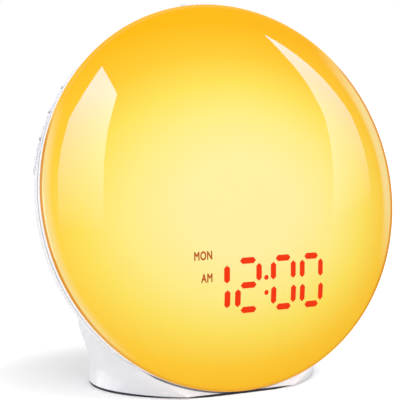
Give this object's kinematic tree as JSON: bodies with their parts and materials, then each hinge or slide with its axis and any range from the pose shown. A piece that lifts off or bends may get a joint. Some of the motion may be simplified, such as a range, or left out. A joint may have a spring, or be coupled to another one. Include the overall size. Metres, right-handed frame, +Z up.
{
  "type": "sunrise alarm clock",
  "caption": "Round bedside sunrise alarm clock: glowing domed diffuser with a digital time display, side keys, ribbed snooze bar and an oval foot.",
  "frame": {"origin": "on the surface the clock stands on, under the middle of the oval foot", "axes": "+X to the right of someone facing the dial, -Y out of the front, +Z up"},
  "size_m": [0.18, 0.0995, 0.1783],
  "materials": {
    "dome": "milky translucent, polished, lit amber from inside",
    "white_gloss": "polished white",
    "white_satin": "satin white moulding",
    "key_white": "satin white keys",
    "rubber": "dark anti-slip rubber",
    "board_white": "white solder mask",
    "board_green": "green solder mask",
    "led": "moulded lamp packages",
    "black_plastic": "black moulded plastic",
    "clear_guide": "clear moulded light guides",
    "steel": "zinc-plated steel",
    "cone": "pressed paper cone",
    "magnet": "ferrite magnet",
    "foam": "foam gasket",
    "brass": "plated contact pin"
  },
  "bodies": {
    "root": {"base_pad": "rubber", "base_plate": "white_satin", "base_screws": "steel", "board_chips": "black_plastic", "board_header": "black_plastic", "capacitors": "black_plastic", "coin_cell": "steel", "coin_cell_holder": "black_plastic", "dc_jack": "black_plastic", "dc_jack_pin": "brass", "diffuser_dome": "dome", "display_board": "board_green", "display_light_guides": "clear_guide", "display_screws": "steel", "display_shroud": "black_plastic", "front_ring": "white_gloss", "housing_screws": "steel", "inlet_board": "board_green", "inlet_screws": "steel", "key_board_screws": "steel", "led_board": "board_white", "led_board_screws": "steel", "leds": "led", "left_key_board": "board_green", "left_key_switches": "black_plastic", "main_board": "board_green", "main_board_screws": "steel", "rear_housing": "white_satin", "reflector_plate": "white_satin", "right_key_board": "board_green", "right_key_switches": "black_plastic", "snooze_board": "board_green", "snooze_switch": "black_plastic", "speaker_cone": "cone", "speaker_frame": "steel", "speaker_gasket": "foam", "speaker_magnet": "magnet", "speaker_screws": "steel"},
    "left_button_1": {"left_button_1": "key_white"},
    "left_button_2": {"left_button_2": "key_white"},
    "left_button_3": {"left_button_3": "key_white"},
    "left_button_4": {"left_button_4": "key_white"},
    "right_button_1": {"right_button_1": "key_white"},
    "right_button_2": {"right_button_2": "key_white"},
    "right_button_3": {"right_button_3": "key_white"},
    "right_button_4": {"right_button_4": "key_white"},
    "snooze_button": {"snooze_button": "key_white"}
  },
  "joints": [
    {"name": "left_press_1", "type": "slide", "parent": "root", "child": "left_button_1", "axis": [0.8755, -0.1136, -0.4697], "range_m": [0, 0.0006], "stiffness_N_per_m": 1500},
    {"name": "left_press_2", "type": "slide", "parent": "root", "child": "left_button_2", "axis": [0.8755, -0.1136, -0.4697], "range_m": [0, 0.0006], "stiffness_N_per_m": 1500},
    {"name": "left_press_3", "type": "slide", "parent": "root", "child": "left_button_3", "axis": [0.8755, -0.1136, -0.4697], "range_m": [0, 0.0006], "stiffness_N_per_m": 1500},
    {"name": "left_press_4", "type": "slide", "parent": "root", "child": "left_button_4", "axis": [0.8755, -0.1136, -0.4697], "range_m": [0, 0.0006], "stiffness_N_per_m": 1500},
    {"name": "right_press_1", "type": "slide", "parent": "root", "child": "right_button_1", "axis": [-0.8755, -0.1136, -0.4697], "range_m": [0, 0.0006], "stiffness_N_per_m": 1500},
    {"name": "right_press_2", "type": "slide", "parent": "root", "child": "right_button_2", "axis": [-0.8755, -0.1136, -0.4697], "range_m": [0, 0.0006], "stiffness_N_per_m": 1500},
    {"name": "right_press_3", "type": "slide", "parent": "root", "child": "right_button_3", "axis": [-0.8755, -0.1136, -0.4697], "range_m": [0, 0.0006], "stiffness_N_per_m": 1500},
    {"name": "right_press_4", "type": "slide", "parent": "root", "child": "right_button_4", "axis": [-0.8755, -0.1136, -0.4697], "range_m": [0, 0.0006], "stiffness_N_per_m": 1500},
    {"name": "snooze_press", "type": "slide", "parent": "root", "child": "snooze_button", "axis": [0, -0.2351, -0.972], "range_m": [0, 0.001], "stiffness_N_per_m": 1200}
  ]
}
